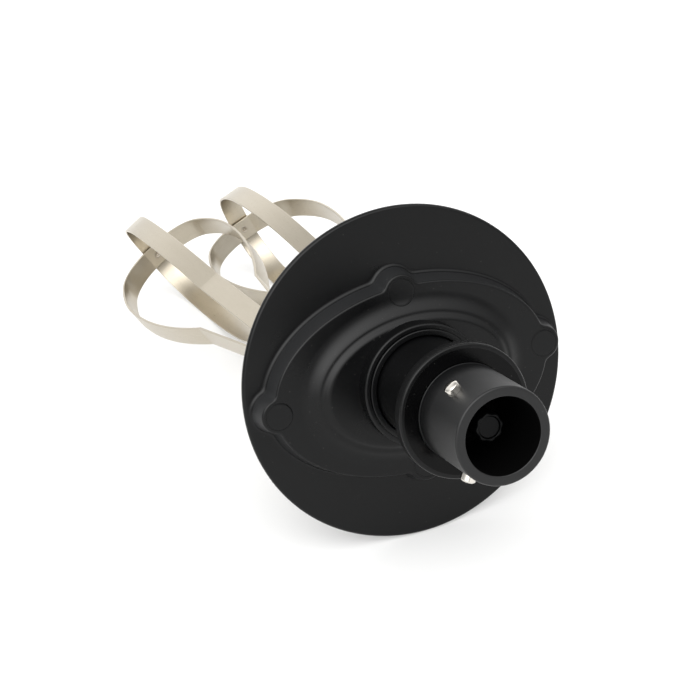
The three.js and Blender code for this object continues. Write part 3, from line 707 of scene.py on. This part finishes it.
def make_housing():
    """The bowl under the cover, with posts for the screws and a boss for each spindle."""
    def rim(x, y):
        return eared_distance(x, y, *HOUSING_RIM, EAR_RADIUS, 4.0)

    def upper(x, y):
        return eared_distance(x, y, *HOUSING_UPPER, POST_RADIUS, 2.0)

    def body(x, y):
        return ellipse_distance(x, y, *HOUSING_UPPER)

    def lower(x, y):
        return ellipse_distance(x, y, *HOUSING_LOWER)

    rings = [[(0, 0, HOUSING_BOTTOM)], ring_at(outline(lower, -8), HOUSING_BOTTOM)]
    corner = rounded([(-6, HOUSING_BOTTOM), (0, HOUSING_BOTTOM, 3.0), (0, HOUSING_BOTTOM + 8)])[1:-1]
    rings += [ring_at(outline(lower, offset), z) for offset, z in corner]
    side = [
        (body, -0.4, POST_BOTTOM), (upper, -1.0, POST_BOTTOM), (upper, -0.4, POST_BOTTOM + 0.6),
        (upper, 0, HOUSING_RIM_BOTTOM - 0.8), (upper, 0.8, HOUSING_RIM_BOTTOM),
        (rim, -0.4, HOUSING_RIM_BOTTOM), (rim, 0, HOUSING_RIM_BOTTOM + 0.4), (rim, 0, HOUSING_TOP - 0.3),
        (rim, -0.3, HOUSING_TOP),
    ]
    rings += [ring_at(outline(shape, offset), z) for shape, offset, z in side]
    room_low = outline(lower, -HOUSING_WALL)
    room_high = outline(body, -HOUSING_WALL)
    recess = outline(lambda x, y: ellipse_distance(x, y, *HOUSING_RIM), -2.2)
    rings += [ring_at(recess, HOUSING_TOP), ring_at(recess, HOUSING_LEDGE), ring_at(room_high, HOUSING_LEDGE),
              ring_at(room_low, HOUSING_FLOOR), [(0, 0, HOUSING_FLOOR)]]
    vertices, faces = ring_mesh(rings)
    obj = mesh_object("housing_shell", vertices, faces)
    places = [at_spindle(side) for side in SIDES]
    boss_top = HOUSING_BOTTOM + 1
    boss = rounded([
        (0, BOSS_BOTTOM), (BOSS_RADIUS, BOSS_BOTTOM, 0.8), (BOSS_RADIUS, boss_top), (0, boss_top),
    ])
    boolean(obj, "UNION", boss, 96, places)
    boolean(obj, "DIFFERENCE", rod(BOSS_BORE, BOSS_BOTTOM - 1, HOUSING_FLOOR + 1), 64, places)
    finish_piece(obj, BLACK, "hub", ["gear_housing"], 30)


# ---------------------------------------------------------------- beaters

ARM_ARCS = ((26.9, 22.2), (29.4, 85.4), (68.3, 172.5))  # length and radius of each arc, from the tip upwards
ARM_STEP = 1.0
TIP_FLAT = 1.1  # where the first arc would start if the tip had no pad
PAD_HALF = 4.4  # half the length of the flat pad at the tip
PAD_CREASE = 0.146  # radians that an arm turns up at the pad's edge
SIDE_SHIFT = 10  # keeps the brushing on a strip's two sides apart, in millimetres across its UV map
RIVET_RADIUS = 1.5
RIVET_HEAD = 2.4
RIVET_HEAD_HEIGHT = 0.6


def at_spindle(side):
    return Matrix.Translation((SPINDLE_X[side], 0, 0))


def arm_line(tip_z):
    """Middle line of one arm in the radius-z plane, from the flat pad at the tip to the block."""
    points = [(PAD_HALF * k / 4, tip_z) for k in range(5)] + [(PAD_HALF + 0.15, tip_z + 0.01)]
    radius, z = points[-1]
    heading = PAD_CREASE
    first = (ARM_ARCS[0][0] - (PAD_HALF - TIP_FLAT), ARM_ARCS[0][1])
    for length, bend in (first, *ARM_ARCS[1:]):
        steps = math.ceil(length / ARM_STEP)
        for _ in range(steps):
            heading += length / steps / bend / 2
            radius += length / steps * math.cos(heading)
            z += length / steps * math.sin(heading)
            heading += length / steps / bend / 2
            points.append((radius, z))
    corners = [points[-1], (ARM_SEAT, BLOCK_BOTTOM + 1), (ARM_SEAT, BLOCK_TOP - 2)]
    for (r0, z0), (r1, z1) in zip(corners, corners[1:]):
        steps = max(2, math.ceil(math.hypot(r1 - r0, z1 - z0) / 4))
        points += [(r0 + (r1 - r0) * k / steps, z0 + (z1 - z0) * k / steps) for k in range(1, steps + 1)]
    return points


def strip_section():
    """Half widths and heights round the strip's section, a flat bar with rounded edges."""
    half, thick, fillet = STRIP_WIDTH / 2, STRIP_THICKNESS / 2, 0.3
    corners = [(half - fillet, thick - fillet, 0), (-half + fillet, thick - fillet, 90),
               (-half + fillet, -thick + fillet, 180), (half - fillet, -thick + fillet, 270)]
    section = []
    for across, up, start in corners:
        for k in range(4):
            angle = math.radians(start + 30 * k)
            section.append((across + fillet * math.cos(angle), up + fillet * math.sin(angle)))
    return section


def make_loop(side, kind, tip_z, turn):
    """One strip, bent into a loop of two arms that meet at the tip."""
    arm = arm_line(tip_z)
    line = np.array([(-r, z) for r, z in reversed(arm[1:])] + arm)
    ahead = np.gradient(line, axis=0)
    ahead /= np.linalg.norm(ahead, axis=1)[:, None]
    out = np.stack([ahead[:, 1], -ahead[:, 0]], 1)  # away from the inside of the loop
    section = strip_section()
    run = np.concatenate([[0], np.cumsum(np.linalg.norm(np.diff(line, axis=0), axis=1))])
    centre = at_spindle(side) @ Matrix.Rotation(PHASE[side] + turn, 4, "Z")
    vertices, faces = [], []
    for point, normal in zip(line, out):
        for across, up in section:
            r, z = point + normal * up
            vertices.append(tuple(centre @ Vector((r, across, z))))
    count = len(section)
    for i in range(len(line) - 1):
        for j in range(count):
            k = (j + 1) % count
            faces.append((i * count + j, i * count + k, (i + 1) * count + k, (i + 1) * count + j))
    last = (len(line) - 1) * count
    faces.append(tuple(reversed(range(count))))
    faces.append(tuple(last + j for j in range(count)))
    obj = mesh_object(f"{side}_{kind}_strip", vertices, faces)
    layer = obj.data.uv_layers.new(name="strip")
    across_map = [across + (SIDE_SHIFT if up < 0 else 0) for across, up in section]
    for polygon in obj.data.polygons:
        for loop in polygon.loop_indices:
            index = obj.data.loops[loop].vertex_index
            layer.data[loop].uv = (across_map[index % count] * MM, run[index // count] * MM)
    drill = rod(RIVET_RADIUS + 0.03, tip_z - 2, tip_z + 2)
    boolean(obj, "DIFFERENCE", drill, 48, [at_spindle(side)])
    finish_piece(obj, STRIP, f"{side}_beater", [f"{side}_{kind}_loop"], 40)


def make_beater(side):
    body = f"{side}_beater"
    place = at_spindle(side)
    bottom, top = heights(f"{side}_spindle")
    collar_bottom, collar_top = BLOCK_TOP + GAP, BOSS_BOTTOM - 1
    spindle = rounded([
        (0, bottom), (SPINDLE_END, bottom, 0.3), (SPINDLE_END, collar_bottom),
        (SPINDLE_COLLAR, collar_bottom, 0.3), (SPINDLE_COLLAR, collar_top, 0.3), (SPINDLE_RADIUS, collar_top),
        (SPINDLE_RADIUS, top, 0.4), (0, top),
    ])
    lathe(f"{side}_spindle_turned", spindle, POLISHED, body, [f"{side}_spindle"], 64, place)
    bottom, top = heights(f"{side}_ferrule")
    ferrule = rounded([
        (FERRULE_BORE, bottom), (FERRULE_RADIUS, bottom, 0.3), (FERRULE_RADIUS, top, 0.3),
        (FERRULE_BORE, top),
    ])
    lathe(f"{side}_ferrule_ring", ferrule, POLISHED, body, [f"{side}_ferrule"], 96, place)
    make_loop(side, "outer", TIP_Z, math.pi / 2)
    make_loop(side, "inner", TIP_Z + STRIP_THICKNESS + GAP, 0)
    # rivet: a low dome outside, flush inside with a small punched dimple
    inside = TIP_Z + STRIP_THICKNESS * 1.5 + GAP - 0.01
    outside = heights(f"{side}_rivet")[0]
    under_head = outside + RIVET_HEAD_HEIGHT
    rivet = rounded([
        (0, outside), (2.0, outside, 0.5), (RIVET_HEAD, under_head - 0.1, 0.2), (RIVET_HEAD, under_head),
        (RIVET_RADIUS, under_head), (RIVET_RADIUS, inside, 0.05), (1.05, inside, 0.3),
        (0.4, inside - 0.85, 0.3), (0, inside - 0.9),
    ])
    lathe(f"{side}_rivet_turned", rivet, RIVET_STEEL, body, [f"{side}_rivet"], 48, place)


# ---------------------------------------------------------------- stage, camera and light

# the camera's place and its right and up directions, in the frame
CAMERA_PLACE = Vector((-0.23236, 0.24876, 0.60142))
CAMERA_RIGHT = Vector((0.912413, -0.183666, 0.365745))
CAMERA_UP = Vector((0.283385, 0.928283, -0.240795))
SENSOR_WIDTH = 36  # millimetres, like the focal length
FOCAL_LENGTH = 108.245

# the floor touches the rim of the disc and the widest part of both beaters
FLOOR_POINT = Vector((-0.00157, -0.05998, -0.0513))
FLOOR_NORMAL = Vector((0.02789, 0.98624, 0.16297)).normalized()
FLOOR_SIZE = 3.0  # half its width
FLOOR_COLOUR = (0.66, 0.66, 0.655)
FLOOR_GLOW = 0.19


def make_camera():
    camera = bpy.data.objects.new("camera", bpy.data.cameras.new("camera"))
    camera.data.lens = FOCAL_LENGTH
    camera.data.sensor_width = SENSOR_WIDTH
    back = CAMERA_RIGHT.cross(CAMERA_UP)
    rotation = Matrix((CAMERA_RIGHT, CAMERA_UP, back)).transposed().to_4x4()
    camera.matrix_world = Matrix.Translation(CAMERA_PLACE) @ rotation
    bpy.context.collection.objects.link(camera)
    bpy.context.scene.camera = camera


def floor_frame():
    """A matrix whose Z is the floor's normal and whose Y runs along the hub towards the tube."""
    along = Vector((0, 0, 1)) - FLOOR_NORMAL * FLOOR_NORMAL.z
    along.normalize()
    across = along.cross(FLOOR_NORMAL)
    rotation = Matrix((across, along, FLOOR_NORMAL)).transposed().to_4x4()
    return Matrix.Translation(FLOOR_POINT) @ rotation


def make_floor():
    """A pale floor that shows only from above, so it hides nothing from below."""
    corners = [(x * FLOOR_SIZE, y * FLOOR_SIZE, 0) for x, y in ((-1, -1), (1, -1), (1, 1), (-1, 1))]
    mesh = bpy.data.meshes.new("floor")
    mesh.from_pydata(corners, [], [(0, 1, 2, 3)])
    floor = bpy.data.objects.new("floor", mesh)
    floor.matrix_world = floor_frame()
    n = Nodes("floor white")
    n.shader.inputs["Base Color"].default_value = (*FLOOR_COLOUR, 1)
    n.shader.inputs["Emission Color"].default_value = (1, 1, 1, 1)
    n.shader.inputs["Emission Strength"].default_value = FLOOR_GLOW
    n.shader.inputs["Roughness"].default_value = 0.7
    n.shader.inputs["Specular IOR Level"].default_value = 0.2
    clear = n.add("ShaderNodeBsdfTransparent")
    side = n.add("ShaderNodeNewGeometry")
    mix = n.add("ShaderNodeMixShader")
    n.link(side.outputs["Backfacing"], mix.inputs[0])
    n.link(n.shader.outputs[0], mix.inputs[1])
    n.link(clear.outputs[0], mix.inputs[2])
    n.link(mix.outputs[0], n.tree.nodes["Material Output"].inputs["Surface"])
    mesh.materials.append(n.material)
    bpy.context.collection.objects.link(floor)


# soft patches of light: direction round the object and height above the floor in degrees, and strength
SKY = (
    (0, 90, 0.39),
    (0, 15, 0.23), (90, 15, 0.37), (160, 20, 0.8), (225, 15, 1.9), (270, 15, 1.2),
    (0, 50, 1.2), (45, 50, 0.8), (90, 50, 1.2), (135, 50, 0.75),
    (180, 50, 0.06), (225, 50, 0.15), (270, 50, 0.19), (315, 50, 0.23),
    (54, 34, 4.2), (122, 54, 1.2), (310, 25, 0.8),
)
PATCH_SHARPNESS = 8


def make_sky():
    """Studio light as smooth patches on a dark surround. The camera sees plain white behind the floor."""
    world = bpy.data.worlds.new("studio")
    world.use_nodes = True
    tree = world.node_tree
    background = tree.nodes["Background"]

    def math_node(operation, first, second):
        node = tree.nodes.new("ShaderNodeMath")
        node.operation = operation
        for socket, value in zip(node.inputs, (first, second)):
            if isinstance(value, (int, float)):
                socket.default_value = value
            else:
                tree.links.new(value, socket)
        return node.outputs[0]

    direction = tree.nodes.new("ShaderNodeTexCoord").outputs["Generated"]
    turn = floor_frame().to_3x3()
    total = 0.0
    for azimuth, height, strength in SKY:
        around, up = math.radians(azimuth), math.radians(height)
        flat = math.cos(up)
        towards = turn @ Vector((flat * math.cos(around), flat * math.sin(around), math.sin(up)))
        facing = tree.nodes.new("ShaderNodeVectorMath")
        facing.operation = "DOT_PRODUCT"
        tree.links.new(direction, facing.inputs[0])
        facing.inputs[1].default_value = towards
        clipped = math_node("MAXIMUM", facing.outputs["Value"], 0.0)
        patch = math_node("MULTIPLY", math_node("POWER", clipped, PATCH_SHARPNESS), strength)
        total = math_node("ADD", total, patch)
    seen = tree.nodes.new("ShaderNodeLightPath").outputs["Is Camera Ray"]
    tree.links.new(math_node("MAXIMUM", total, seen), background.inputs["Strength"])
    background.inputs["Color"].default_value = (1, 1, 1, 1)
    bpy.context.scene.world = world
    bpy.context.scene.view_settings.view_transform = "Standard"


make_camera()
dress_cad_nodes()
make_tube()
make_flange()
make_neck()
make_dog()
make_cover()
make_plugs()
make_housing()
for side in SIDES:
    make_beater(side)
make_floor()
make_sky()
